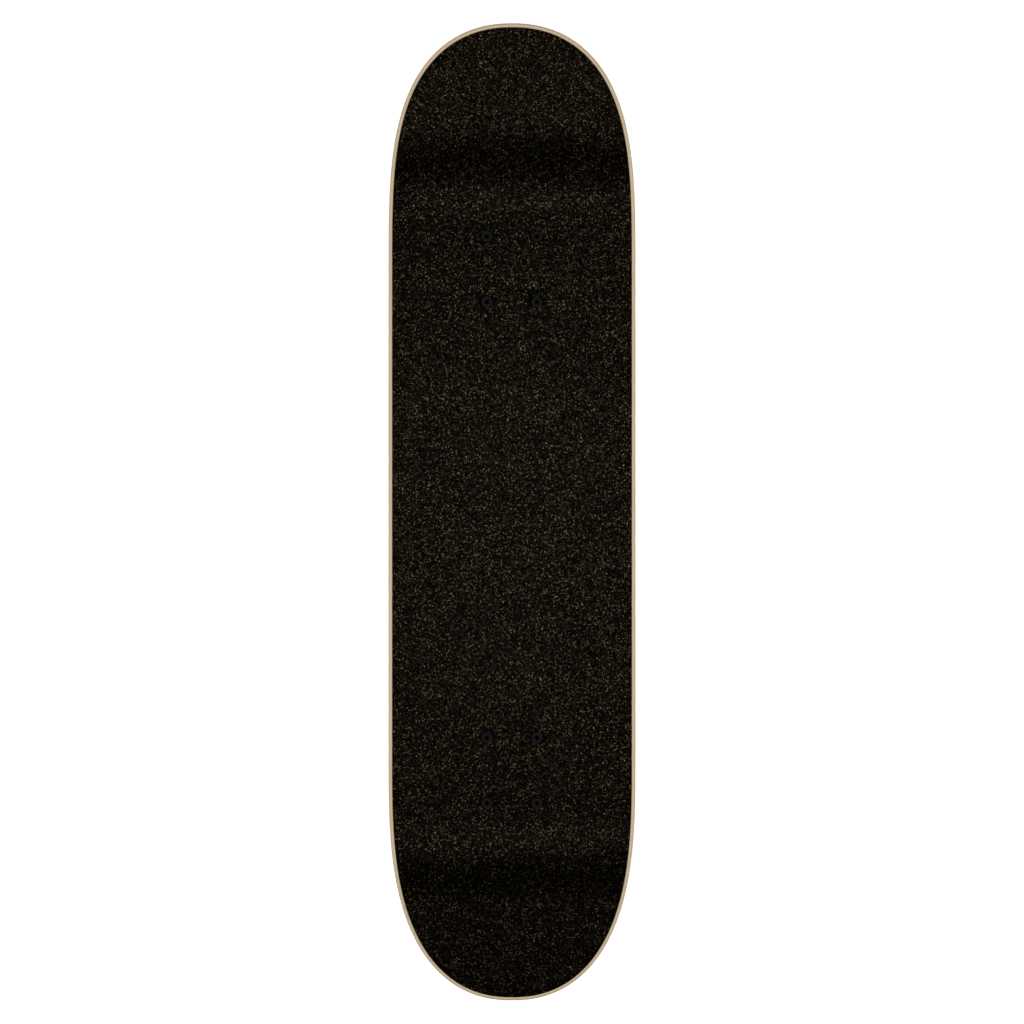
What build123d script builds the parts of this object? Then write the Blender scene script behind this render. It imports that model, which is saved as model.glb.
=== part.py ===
"""A complete street skateboard: a seven-ply maple deck with grip tape, two kingpin trucks and four wheels.

Frame: +X towards the nose, +Y to the rider's left, +Z up. The origin is on the ground, under the middle of
the deck's length. Units are millimetres. Every node is written to parts/NODE.step.
"""

import os
from math import cos, hypot, pi, radians, sin

from build123d import *

# ---------------------------------------------------------------- deck
DECK_LENGTH = 800.0
DECK_WIDTH = 203.2
DECK_THICKNESS = 11.0
FLAT_HALF_WIDTH = 31.0  # the level strip between the two concave rails
CONCAVE_RADIUS = 238.0  # of the top face, beside the level strip
EDGE_ROUND = 2.5
GRIP_THICKNESS = 0.9
GRIP_INSET = 3.05  # bare wood left around the sheet
GRIP_SHIFT = -0.4  # the sheet lies a little towards the tail

# Each end: where the outline starts to taper, the two powers of its superellipse, where the kick turns up,
# the bend's radius on the top face and the kick's angle.
NOSE = {"taper": 200.0, "along": 3.4, "across": 2.19, "bend_at": 281.0, "radius": 220.0, "angle": 21.0}
TAIL = {"taper": 205.0, "along": 2.96, "across": 2.24, "bend_at": 289.0, "radius": 200.0, "angle": 20.0}

# ---------------------------------------------------------------- truck mounting
WHEELBASE = 358.8  # between the two inner rows of bolts
BOLT_SPACING_X = 53.98
BOLT_SPACING_Y = 41.28
NOSE_OVERHANG = 173.2  # from the nose's tip to its outer row of bolts
BOLT_RADIUS = 2.4
BOLT_HOLE_RADIUS = 2.6
BOLT_LENGTH = 25.4
BOLT_HEAD_RADIUS = 4.5
SOCKET_ACROSS_FLATS = 3.2
MOUNT_NUT_ACROSS_FLATS = 9.5
MOUNT_NUT_HEIGHT = 5.4
FIT_GAP = 0.03  # between pieces that touch round a shaft

# ---------------------------------------------------------------- wheel and bearing
WHEEL_RADIUS = 26.0
WHEEL_WIDTH = 32.0
BEARING_RADIUS = 11.0
BEARING_BORE_RADIUS = 4.0
BEARING_WIDTH = 7.0
SPACER_LENGTH = 10.0
BALL_RADIUS = 1.984
BALL_PITCH_RADIUS = 7.5
BALL_COUNT = 7
GROOVE_RADIUS = 2.03
OUTER_LAND_RADIUS = 9.2
INNER_LAND_RADIUS = 5.95
SPEED_WASHER_RADIUS = 6.35
SPEED_WASHER_THICKNESS = 1.0

# ---------------------------------------------------------------- truck
# Truck frame: +X outwards, +Z up, origin at the middle of the baseplate's face against the deck.
AXLE_DROP = 53.0  # from the deck's underside to the axle
AXLE_OUT = 5.0
AXLE_RADIUS = 3.96
HANGER_HALF_WIDTH = 64.5
AXLE_NUT_ACROSS_FLATS = 12.7
AXLE_NUT_HEIGHT = 5.8
AXLE_STICKS_OUT = 1.2  # past its nut
PIVOT = (27.0, -16.5)  # centre of the ball in the pivot cup, X and Z
RING = (-13.0, -34.0)  # middle of the hanger's ring, on the kingpin
KINGPIN_LEAN = 22.0
PIVOT_STUB_SLOPE = 60.0
KINGPIN_RADIUS = 4.76
KINGPIN_ACROSS_FLATS = 14.3
KINGPIN_HEAD_HEIGHT = 6.0
PLATE_LENGTH = 83.0
PLATE_WIDTH = 57.0
PLATE_THICKNESS = 6.0
BOSS_RADIUS = 16.5
HOUSING_RADIUS = 11.6
HOUSING_MOUTH = 3.0
RING_RADIUS = 16.0
RING_HALF = 5.0
RING_HOLE_RADIUS = 7.2
SEAT_DEPTH = 1.2
BUSHING_RADIUS = 12.25
BOTTOM_BUSHING_HEIGHT = 15.2
TOP_BUSHING_HEIGHT = 12.7
BOTTOM_WASHER_THICKNESS = 2.0
TOP_WASHER_THICKNESS = 1.6
KINGPIN_NUT_HEIGHT = 8.5
BALL_END_RADIUS = 6.0
CUP_BALL_RADIUS = 6.15
CUP_RADIUS = 8.5
CUP_FLOOR = -8.5

# ---------------------------------------------------------------- heights and places that follow
UNDERSIDE = WHEEL_RADIUS + AXLE_DROP
DECK_TOP = UNDERSIDE + DECK_THICKNESS
NOSE_TIP = DECK_LENGTH / 2
FRONT_TRUCK_X = NOSE_TIP - NOSE_OVERHANG - BOLT_SPACING_X / 2
REAR_TRUCK_X = FRONT_TRUCK_X - WHEELBASE - BOLT_SPACING_X
KINGPIN_SEAT = -(RING_HALF - SEAT_DEPTH) - BOTTOM_BUSHING_HEIGHT - BOTTOM_WASHER_THICKNESS
TOP_WASHER_AT = RING_HALF - SEAT_DEPTH + TOP_BUSHING_HEIGHT
WHEEL_Y = HANGER_HALF_WIDTH + SPEED_WASHER_THICKNESS + BEARING_WIDTH + SPACER_LENGTH / 2
AXLE_HALF_LENGTH = (
    WHEEL_Y + SPACER_LENGTH / 2 + BEARING_WIDTH + SPEED_WASHER_THICKNESS + AXLE_NUT_HEIGHT + AXLE_STICKS_OUT
)


# ---------------------------------------------------------------- small helpers
def disc(radius, height, z=0.0):
    """A cylinder on the Z axis from z to z + height."""
    return Pos(0, 0, z) * Cylinder(radius, height, align=(Align.CENTER, Align.CENTER, Align.MIN))


def tube(outer, inner, height, z=0.0):
    """A ring on the Z axis from z to z + height."""
    return disc(outer, height, z) - disc(inner, height + 2, z - 1)


def hexagon(across_flats, height, z=0.0):
    """A six-sided bar on the Z axis from z to z + height."""
    profile = RegularPolygon(across_flats / 2, 6, major_radius=False)
    return Pos(0, 0, z) * extrude(profile, height)


def turned(points):
    """A solid turned round the Z axis from (radius, z) points."""
    profile = make_face(Polyline(*points, close=True))
    return revolve(Plane.XZ * profile, Axis.Z)


def hex_nut(across_flats, height, bore):
    """A nut on the Z axis, its corners turned off at both faces, with a raised collar for its nylon ring."""
    corner = across_flats / 2 / cos(pi / 6)
    chamfer = corner - across_flats / 2
    collar = height * 0.28
    blank = hexagon(across_flats, height - collar)
    turned_blank = turned(
        [
            (0, 0),
            (corner - chamfer, 0),
            (corner, chamfer * 0.6),
            (corner, height - collar - chamfer * 0.6),
            (corner - chamfer, height - collar),
            (across_flats * 0.44, height - collar),
            (across_flats * 0.42, height - 0.3),
            (across_flats * 0.38, height),
            (0, height),
        ]
    )
    top = disc(across_flats * 0.44, collar, height - collar)
    return ((blank + top) & turned_blank) - disc(bore, height + 2, -1)


def write(node, *shapes):
    """Writes one node, which holds one solid or a group of like solids."""
    solids = [solid for shape in shapes for solid in shape.solids()]
    export_step(Compound(label=node, children=solids) if len(solids) > 1 else solids[0], f"parts/{node}.step")
    return solids


# ---------------------------------------------------------------- deck and grip tape
def end_curve(end, inset, points=13):
    """Half of one end's outline, from its taper to the tip, as (x, y), moved inwards by inset."""
    reach, half = DECK_LENGTH / 2 - end["taper"], DECK_WIDTH / 2
    curve = []
    for i in range(points):
        turn = pi / 2 * i / (points - 1)
        u, v = sin(turn) ** (2 / end["along"]), cos(turn) ** (2 / end["across"])
        normal_x = end["along"] / reach * u ** (end["along"] - 1)
        normal_y = end["across"] / half * v ** (end["across"] - 1)
        size = hypot(normal_x, normal_y)
        x = end["taper"] + reach * u - inset * normal_x / size
        curve.append((x, half * v - inset * normal_y / size))
    return curve


def outline(inset=0.0):
    """The deck's plan shape, straight rails and two superellipse ends, moved inwards by inset."""
    nose = end_curve(NOSE, inset)
    tail = [(-x, y) for x, y in end_curve(TAIL, inset)]
    half = DECK_WIDTH / 2 - inset
    left_nose = Spline(*nose, tangents=[(1, 0), (0, -1)])
    left_tail = Spline(*tail[::-1], tangents=[(0, 1), (1, 0)])
    rail = Line((-TAIL["taper"], half), (NOSE["taper"], half))
    upper = [left_tail, rail, left_nose]
    lower = [mirror(edge, Plane.XZ) for edge in upper]
    return make_face(Curve() + upper + lower)


def ride_line():
    """The side view of the top face along the middle: tail kick, level stretch, nose kick."""
    beyond = 160.0  # runs past both tips
    tail_turn, nose_turn = radians(TAIL["angle"]), radians(NOSE["angle"])
    return FilletPolyline(
        (-TAIL["bend_at"] - beyond * cos(tail_turn), 0, DECK_TOP + beyond * sin(tail_turn)),
        (-TAIL["bend_at"], 0, DECK_TOP),
        (NOSE["bend_at"], 0, DECK_TOP),
        (NOSE["bend_at"] + beyond * cos(nose_turn), 0, DECK_TOP + beyond * sin(nose_turn)),
        radius=[TAIL["radius"], NOSE["radius"]],
    )


def sheet(low, high):
    """A sheet that follows the deck's concave and kicks, between two heights over its top face."""
    reach = DECK_WIDTH / 2 + 6 - FLAT_HALF_WIDTH

    def face_line(height):
        """The section's line at one height: up the left rail, across the level strip, up the right rail."""
        radius = CONCAVE_RADIUS - height
        turn = reach / CONCAVE_RADIUS
        half = FLAT_HALF_WIDTH
        middle = (half + radius * sin(turn / 2), height + radius * (1 - cos(turn / 2)))
        far = (half + radius * sin(turn), height + radius * (1 - cos(turn)))
        right = ThreePointArc((half, height), middle, far)
        left = ThreePointArc((-far[0], far[1]), (-middle[0], middle[1]), (-half, height))
        return left, Line((-half, height), (half, height)), right

    upper, lower = face_line(high), face_line(low)
    ends = [Line(upper[0] @ 0, lower[0] @ 0), Line(upper[2] @ 1, lower[2] @ 1)]
    section = make_face(Curve() + list(upper) + list(lower) + ends)
    path = ride_line()
    start = Plane(origin=path @ 0, x_dir=(0, 1, 0), z_dir=path % 0)
    return sweep(start * section, path)


def bolt_places(truck_x=0.0):
    """The four bolts' places round one truck's middle, as (x, y)."""
    return [(truck_x + i * BOLT_SPACING_X / 2, j * BOLT_SPACING_Y / 2) for i in (-1, 1) for j in (-1, 1)]


def countersink(gap=0.0, above=0.0):
    """The bolt head's cone, its flat face a distance above z = 0, grown by gap."""
    r = BOLT_HEAD_RADIUS
    rim = 0.5
    return turned(
        [
            (0, above),
            (r + gap, above),
            (r + gap, -rim),
            (BOLT_RADIUS + gap, -rim - (r - BOLT_RADIUS)),
            (0, -rim - (r - BOLT_RADIUS)),
        ]
    )


def deck_and_grip():
    """The drilled deck with its rounded rim, and the drilled sheet of grip tape on it."""
    blank = extrude(outline(), 200)
    grip_blank = extrude(Pos(GRIP_SHIFT, 0, 0) * outline(GRIP_INSET), 200)
    board = sheet(-DECK_THICKNESS, 0) & blank
    sides = board.faces().filter_by(lambda f: abs(f.normal_at(f.center()).Z) < 0.3)
    uprights = [e for e in sides.edges() if abs(e.tangent_at(0.5).Z) > 0.8]
    rims = [e for e in sides.edges() if e not in uprights]
    board = fillet(rims, EDGE_ROUND)
    grip = sheet(0, GRIP_THICKNESS) & grip_blank
    head_top = DECK_TOP + GRIP_THICKNESS
    for x, y in bolt_places(FRONT_TRUCK_X) + bolt_places(REAR_TRUCK_X):
        board -= Pos(x, y, 0) * disc(BOLT_HOLE_RADIUS, 40, UNDERSIDE - 10)
        board -= Pos(x, y, head_top) * countersink(0.05, 2)
        grip -= Pos(x, y, 0) * disc(BOLT_HEAD_RADIUS + 0.15, 40, UNDERSIDE)
    return board, grip


# ---------------------------------------------------------------- truck
def lean(at):
    """The kingpin's frame: its origin a distance down the pin from the ring's middle, +Z down the pin."""
    turn = radians(KINGPIN_LEAN)
    return Plane(
        origin=(RING[0] - at * sin(turn), 0, RING[1] - at * cos(turn)),
        x_dir=(cos(turn), 0, -sin(turn)),
        z_dir=(-sin(turn), 0, -cos(turn)),
    )


def stub_frame():
    """The pivot's frame: its origin at the ball's centre, +Z down the stub towards the axle."""
    turn = radians(PIVOT_STUB_SLOPE)
    return Plane(origin=(PIVOT[0], 0, PIVOT[1]), x_dir=(0, 1, 0), z_dir=(-cos(turn), 0, -sin(turn)))


def baseplate():
    """The cast plate under the deck, with the kingpin's slanted seat and the pivot cup's housing."""
    plate = extrude(RectangleRounded(PLATE_LENGTH, PLATE_WIDTH, 10), -PLATE_THICKNESS)
    plate = chamfer(plate.faces().sort_by(Axis.Z)[0].edges(), 1.2)
    seat, stub = lean(KINGPIN_SEAT), stub_frame()
    below = Pos(0, 0, -60) * Box(PLATE_LENGTH, 120, 60, align=(Align.CENTER, Align.CENTER, Align.MIN))
    boss = seat * turned(
        [(0, 0), (BOSS_RADIUS - 1, 0), (BOSS_RADIUS, -1), (BOSS_RADIUS + 3, -30), (0, -30)]
    )
    housing = stub * turned(
        [
            (0, HOUSING_MOUTH),
            (HOUSING_RADIUS - 1.2, HOUSING_MOUTH),
            (HOUSING_RADIUS, HOUSING_MOUTH - 1.2),
            (HOUSING_RADIUS, -30),
            (0, -30),
        ]
    )
    web_line = Polyline((-6, -2), (4, -17), (18, -12.5), (26, -18), (34, -2), close=True)
    web = extrude(Plane.XZ * make_face(web_line), 7.5, both=True)
    plate += (boss + housing + web) & below
    head_top = head_place()
    plate -= lean(head_top) * hexagon(KINGPIN_ACROSS_FLATS + 0.3, 30, KINGPIN_HEAD_HEIGHT - 30)
    plate -= seat * disc(KINGPIN_RADIUS + 0.12, 40, -20)
    plate -= stub * disc(CUP_RADIUS + 0.02, 20, CUP_FLOOR)
    plate -= stub * disc(HOUSING_RADIUS + 4, 20, HOUSING_MOUTH)
    for x, y in bolt_places():
        plate -= Pos(x, y, 0) * disc(BOLT_HOLE_RADIUS, 40, -20)
    return plate


def head_place():
    """How far up the kingpin its head's outer face lies, just clear of the deck."""
    turn = radians(KINGPIN_LEAN)
    corner = KINGPIN_ACROSS_FLATS / 2 / cos(pi / 6)
    return (RING[1] + corner * sin(turn) + 0.5) / cos(turn)


def pivot_cup():
    """The urethane cup pressed into the baseplate round the pivot's ball."""
    cup = disc(CUP_RADIUS, HOUSING_MOUTH + 0.8 - CUP_FLOOR, CUP_FLOOR)
    cup += disc(CUP_RADIUS + 1.4, 0.8, HOUSING_MOUTH)
    cup -= Sphere(CUP_BALL_RADIUS)
    cup -= disc(CUP_BALL_RADIUS, 20)
    return stub_frame() * cup


def kingpin():
    """The pin's length is counted from the ring's middle; its head sits in the baseplate."""
    top = head_place()
    end = TOP_WASHER_AT + TOP_WASHER_THICKNESS + KINGPIN_NUT_HEIGHT + 1.6
    pin = hexagon(KINGPIN_ACROSS_FLATS, KINGPIN_HEAD_HEIGHT, top)
    shank = turned(
        [
            (0, top + 1),
            (KINGPIN_RADIUS, top + 1),
            (KINGPIN_RADIUS, end - 0.8),
            (KINGPIN_RADIUS - 0.8, end),
            (0, end),
        ]
    )
    return lean(0) * (pin + shank)


def kingpin_nut():
    nut = hex_nut(KINGPIN_ACROSS_FLATS, KINGPIN_NUT_HEIGHT, KINGPIN_RADIUS + FIT_GAP)
    return lean(TOP_WASHER_AT + TOP_WASHER_THICKNESS) * nut


def cup_washer(radius, thickness, lip):
    """A dished washer lying on z = 0, its lip turned up round the bushing."""
    ring = disc(radius, thickness + lip) - disc(radius - 1.2, thickness + lip, thickness)
    return ring - disc(KINGPIN_RADIUS + 0.1, 10, -1)


def bottom_washer():
    return lean(KINGPIN_SEAT) * cup_washer(BUSHING_RADIUS + 1.8, BOTTOM_WASHER_THICKNESS, 1.2)


def top_washer():
    turned_over = Rot(180, 0, 0) * cup_washer(11.0, TOP_WASHER_THICKNESS, 0.8)
    return lean(TOP_WASHER_AT + TOP_WASHER_THICKNESS) * turned_over


def bottom_bushing():
    """The barrel bushing between the baseplate's washer and the ring."""
    r, h = BUSHING_RADIUS, BOTTOM_BUSHING_HEIGHT
    barrel = turned([(5, 0), (r - 1, 0), (r, 1), (r, h - 1), (r - 1, h), (5, h)])
    return lean(KINGPIN_SEAT + BOTTOM_WASHER_THICKNESS) * barrel


def top_bushing():
    """The cone bushing between the ring and the nut's washer."""
    r, h = BUSHING_RADIUS, TOP_BUSHING_HEIGHT
    cone = turned([(5, 0), (r - 0.8, 0), (r - 0.3, 1.2), (8.9, h - 0.8), (8.1, h), (5, h)])
    return lean(RING_HALF - SEAT_DEPTH) * cone


def hanger():
    """The casting that carries the axle: beam, kingpin ring and pivot stub."""
    reach = hypot(RING[0] - AXLE_OUT, RING[1] + AXLE_DROP)
    along = ((RING[0] - AXLE_OUT) / reach, 0, (RING[1] + AXLE_DROP) / reach)
    # distance out from the middle, shift towards the ring, and the two half-widths of the oval
    ovals = [(0, 6.0, 17.0, 9.8), (15, 5.0, 15.5, 9.4), (30, 1.6, 10.8, 8.8), (45, 0, 8.6, 8.5)]
    ovals.append((HANGER_HALF_WIDTH, 0, 8.0, 7.95))
    sections = []
    for side in (-1, 1):
        for y, shift, long, short in ovals[::-1] if side < 0 else ovals[1:]:
            centre = (AXLE_OUT + shift * along[0], side * y, -AXLE_DROP + shift * along[2])
            frame = Plane(origin=centre, x_dir=along, z_dir=(0, 1, 0))
            sections.append(frame * Ellipse(long, short))
    body = loft(sections)
    ring, stub = lean(0), stub_frame()
    body -= ring * disc(13.6, 30, RING_HALF)
    body -= ring * disc(15.5, 30, -30 - RING_HALF)
    body += ring * turned(
        [
            (0, -RING_HALF),
            (RING_RADIUS - 1.2, -RING_HALF),
            (RING_RADIUS, -RING_HALF + 1.2),
            (RING_RADIUS, RING_HALF - 1.2),
            (RING_RADIUS - 1.2, RING_HALF),
            (0, RING_HALF),
        ]
    )
    nose = turned([(0, 0), (5.2, 0), (5.2, 5.5), (7.0, 15), (8.8, 36), (0, 36)])
    body += stub * (Sphere(BALL_END_RADIUS) + nose)
    body -= ring * disc(RING_HOLE_RADIUS, 40, -20)
    for side in (0, 180):
        body -= ring * Rot(side, 0, 0) * disc(BUSHING_RADIUS + 0.15, 5, RING_HALF - SEAT_DEPTH)
    body -= axle_line() * Cylinder(AXLE_RADIUS + 0.01, 200)
    return body


def axle_line():
    """The axle's frame, +Z along the truck's +Y."""
    return Plane(origin=(AXLE_OUT, 0, -AXLE_DROP), x_dir=(1, 0, 0), z_dir=(0, 1, 0))


def axle():
    rod = Cylinder(AXLE_RADIUS, 2 * AXLE_HALF_LENGTH)
    return axle_line() * chamfer(rod.edges().filter_by(GeomType.CIRCLE), 0.7)


def axle_ends(piece, inner_face):
    """The same piece on both ends of the axle, its +Z outwards, its inner face at a distance from middle."""
    return [
        axle_line() * Rot(0, side, 0) * Pos(0, 0, inner_face) * piece for side in (0, 180)
    ]


def axle_nuts():
    nut = hex_nut(AXLE_NUT_ACROSS_FLATS, AXLE_NUT_HEIGHT, AXLE_RADIUS + FIT_GAP)
    return axle_ends(nut, WHEEL_Y + SPACER_LENGTH / 2 + BEARING_WIDTH + SPEED_WASHER_THICKNESS)


def speed_washers():
    washer = tube(SPEED_WASHER_RADIUS, AXLE_RADIUS + 0.1, SPEED_WASHER_THICKNESS)
    outer = WHEEL_Y + SPACER_LENGTH / 2 + BEARING_WIDTH
    return axle_ends(washer, HANGER_HALF_WIDTH) + axle_ends(washer, outer)


def mounting_bolt():
    """A countersunk bolt with a hex socket, its head's face at z = 0."""
    bolt = countersink() + disc(BOLT_RADIUS, BOLT_LENGTH, -BOLT_LENGTH)
    bolt -= hexagon(SOCKET_ACROSS_FLATS, 5, -2.3)
    return bolt


def mounting_bolts():
    top = DECK_THICKNESS + GRIP_THICKNESS
    return [Pos(x, y, top) * mounting_bolt() for x, y in bolt_places()]


def mounting_nuts():
    nut = hex_nut(MOUNT_NUT_ACROSS_FLATS, MOUNT_NUT_HEIGHT, BOLT_RADIUS + FIT_GAP)
    upright = Rot(180, 0, 0) * nut
    return [Pos(x, y, -PLATE_THICKNESS) * upright for x, y in bolt_places()]


# ---------------------------------------------------------------- wheel, drawn with its axle on Z, +Z outwards
def wheel():
    """The cast urethane tyre and hub in one, with a bearing seat in each side."""
    half, seat_edge = WHEEL_WIDTH / 2, SPACER_LENGTH / 2 + BEARING_WIDTH
    seat, bore = BEARING_RADIUS + 0.01, 9.3
    side = Polyline(
        (bore, 0),
        (bore, SPACER_LENGTH / 2),
        (seat, SPACER_LENGTH / 2),
        (seat, seat_edge + 0.1),
        (12.6, seat_edge + 1.0),
        (14.2, half - 0.6),
        (15.4, half),
        (17.6, half),
    )
    shoulder = Spline((17.6, half), (22.6, 13.9), (WHEEL_RADIUS, 9.2), tangents=[(1, -0.12), (0.06, -1)])
    tread = Line((WHEEL_RADIUS, 9.2), (WHEEL_RADIUS, 0))
    closing = Line((WHEEL_RADIUS, 0), (bore, 0))
    profile = make_face(Curve() + [side, shoulder, tread, closing])
    half_wheel = revolve(Plane.XZ * profile, Axis.Z)
    return half_wheel + mirror(half_wheel, Plane.XY)


def both_bearings(piece):
    """The same piece in the outer and the inner bearing, turned over in the inner one."""
    outer = Pos(0, 0, (SPACER_LENGTH + BEARING_WIDTH) / 2) * piece
    return [outer, Rot(180, 0, 0) * outer]


def groove():
    return Torus(BALL_PITCH_RADIUS, GROOVE_RADIUS)


def inner_rings():
    half = BEARING_WIDTH / 2
    blank = turned(
        [
            (BEARING_BORE_RADIUS, -half + 0.3),
            (BEARING_BORE_RADIUS + 0.3, -half),
            (INNER_LAND_RADIUS, -half),
            (INNER_LAND_RADIUS, half),
            (BEARING_BORE_RADIUS + 0.3, half),
            (BEARING_BORE_RADIUS, half - 0.3),
        ]
    )
    return both_bearings(blank - groove())


def outer_rings():
    half = BEARING_WIDTH / 2
    blank = turned(
        [
            (OUTER_LAND_RADIUS, -half),
            (BEARING_RADIUS - 0.35, -half),
            (BEARING_RADIUS, -half + 0.35),
            (BEARING_RADIUS, half - 0.35),
            (BEARING_RADIUS - 0.35, half),
            (OUTER_LAND_RADIUS, half),
        ]
    )
    return both_bearings(blank - groove())


def shields():
    """The thin cover over each bearing's outward side, clipped into its outer ring."""
    half = BEARING_WIDTH / 2
    cover = tube(OUTER_LAND_RADIUS - 0.01, INNER_LAND_RADIUS + 0.3, 0.5, half - 0.75)
    return both_bearings(cover)


def ball_spots():
    return [Rot(0, 0, 360 * i / BALL_COUNT) * Pos(BALL_PITCH_RADIUS, 0, 0) for i in range(BALL_COUNT)]


def balls():
    return [ball for spot in ball_spots() for ball in both_bearings(spot * Sphere(BALL_RADIUS))]


def cages():
    """The crown cage that keeps the balls apart, open towards the shield."""
    cage = tube(8.35, 6.65, 3.4, -2.5)
    for spot in ball_spots():
        cage -= spot * Sphere(BALL_RADIUS + 0.07)
    return both_bearings(cage)


def spacer():
    return tube(5.2, BEARING_BORE_RADIUS + 0.05, SPACER_LENGTH, -SPACER_LENGTH / 2)


# ---------------------------------------------------------------- the whole board
def place(location, shapes):
    return [location * shape for shape in shapes]


def write_truck(name, truck_x, turn):
    """One truck with its two wheels; left and right are the rider's, facing the nose."""
    stand = Pos(truck_x, 0, UNDERSIDE) * Rot(0, 0, turn)
    pieces = {
        "baseplate": [baseplate()],
        "pivot_cup": [pivot_cup()],
        "kingpin": [kingpin()],
        "kingpin_nut": [kingpin_nut()],
        "bottom_washer": [bottom_washer()],
        "bottom_bushing": [bottom_bushing()],
        "top_bushing": [top_bushing()],
        "top_washer": [top_washer()],
        "mounting_bolts": mounting_bolts(),
        "mounting_nuts": mounting_nuts(),
        "hanger": [hanger()],
        "axle": [axle()],
        "axle_nuts": axle_nuts(),
        "speed_washers": speed_washers(),
    }
    for piece, shapes in pieces.items():
        write(f"{name}_{piece}", *place(stand, shapes))
    axle_x = truck_x + (AXLE_OUT if turn == 0 else -AXLE_OUT)
    for side, sign in (("left", 1), ("right", -1)):
        hub = Plane(origin=(axle_x, sign * WHEEL_Y, WHEEL_RADIUS), x_dir=(1, 0, 0), z_dir=(0, sign, 0))
        write_wheel(f"{name}_{side}", hub)


def write_wheel(name, hub):
    pieces = {
        "wheel": [wheel()],
        "outer_rings": outer_rings(),
        "shields": shields(),
        "balls": balls(),
        "cages": cages(),
        "inner_rings": inner_rings(),
        "spacer": [spacer()],
    }
    for piece, shapes in pieces.items():
        write(f"{name}_{piece}", *[hub * shape for shape in shapes])


if __name__ == "__main__":
    os.makedirs("parts", exist_ok=True)
    deck, grip_tape = deck_and_grip()
    write("deck", deck)
    write("grip_tape", grip_tape)
    write_truck("front", FRONT_TRUCK_X, 0)
    write_truck("rear", REAR_TRUCK_X, 180)
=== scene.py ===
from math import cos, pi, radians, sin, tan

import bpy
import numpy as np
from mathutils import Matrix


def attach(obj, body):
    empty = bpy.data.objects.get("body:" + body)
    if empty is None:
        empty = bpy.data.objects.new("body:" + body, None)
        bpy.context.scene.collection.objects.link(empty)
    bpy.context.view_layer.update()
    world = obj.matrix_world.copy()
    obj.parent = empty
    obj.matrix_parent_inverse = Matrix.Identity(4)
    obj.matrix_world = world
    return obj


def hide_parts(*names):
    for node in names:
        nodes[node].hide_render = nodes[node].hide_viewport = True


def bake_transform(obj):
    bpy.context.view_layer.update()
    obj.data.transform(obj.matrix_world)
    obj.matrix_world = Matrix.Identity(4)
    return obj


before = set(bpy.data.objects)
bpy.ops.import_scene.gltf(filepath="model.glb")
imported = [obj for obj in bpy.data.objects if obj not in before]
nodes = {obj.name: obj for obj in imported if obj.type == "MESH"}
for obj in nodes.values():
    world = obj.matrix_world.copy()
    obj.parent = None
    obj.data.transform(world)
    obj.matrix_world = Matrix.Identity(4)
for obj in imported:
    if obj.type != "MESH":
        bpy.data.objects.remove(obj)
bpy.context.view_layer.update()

# %% [markdown]
# A street skateboard
# ===================
# This lesson dresses a skateboard that already exists as a measured model: a maple deck, a sheet of grip
# tape, two trucks and four wheels. The measured pieces stay where they are. What gets made here is what the
# eye wants and a measured solid does not carry: pressed veneers, grit, cast metal, threads and poured urethane.

MM = 0.001

# %% [markdown]
# A few small helpers
# -------------------
# Every colour below is written as the hex value a paint chart would give. Light adds up in linear numbers,
# so one function turns hex to linear. Every node tree is built by one function too: it adds a node, sets it
# and joins it to what feeds it. Sums and mixed colours come so often that each has a short form of its own.

# %% Colour and node helpers
def linear(hex_colour):
    """A hex colour such as 'C9B797' as the linear red, green, blue and alpha that a node wants."""
    channels = [int(hex_colour[i : i + 2], 16) / 255 for i in (0, 2, 4)]
    return [c / 12.92 if c <= 0.04045 else ((c + 0.055) / 1.055) ** 2.4 for c in channels] + [1.0]


def add(tree, kind, settings=None, inputs=None):
    """Adds one node. Its own settings come first, then what goes to its sockets: values or others' outputs."""
    made = tree.nodes.new(kind)
    for name, value in (settings or {}).items():
        setattr(made, name, value)
    for socket, value in (inputs or {}).items():
        if isinstance(value, bpy.types.NodeSocket):
            tree.links.new(value, made.inputs[socket])
        else:
            made.inputs[socket].default_value = value
    return made


def maths(tree, operation, *feeds):
    """The result of one maths node."""
    return add(tree, "ShaderNodeMath", {"operation": operation}, dict(enumerate(feeds))).outputs[0]


def mix_colours(tree, share, first, second):
    """A colour between two others: the first where share is 0, the second where it is 1."""
    mixed = add(tree, "ShaderNodeMix", {"data_type": "RGBA"}, {"Factor": share, "A": first, "B": second})
    return mixed.outputs["Result"]


print("maple is", [round(c, 3) for c in linear("C9B797")])

# %% [markdown]
# Camera, floor and light
# -----------------------
# The board is looked at from straight above, nose up, from far away through a long lens, so its rails stay
# parallel. Grip tape is almost black and only its gloss shows its shape. A long narrow softbox overhead lights
# the level middle, and two more light the raised ends. The bends between face neither, so they go dark.

# %% The camera
CAMERA_HEIGHT = 6.6  # over the deck's top, in metres
VIEW_ACROSS = 0.8435  # what the camera takes in at the deck's top, in metres
SENSOR_WIDTH = 36.0  # in millimetres, like the lens
DECK_TOP = 90.0 * MM

eye = bpy.data.objects.new("camera", bpy.data.cameras.new("camera"))
bpy.context.scene.collection.objects.link(eye)
eye.location = (0, 0, DECK_TOP + CAMERA_HEIGHT)
eye.rotation_euler = (0, 0, -pi / 2)
eye.data.sensor_width = SENSOR_WIDTH
eye.data.lens = SENSOR_WIDTH * CAMERA_HEIGHT / VIEW_ACROSS
eye.data.clip_end = 60.0
bpy.context.scene.camera = eye
bpy.context.scene.view_settings.view_transform = "Standard"
print("the lens is", round(eye.data.lens), "mm long")


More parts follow.
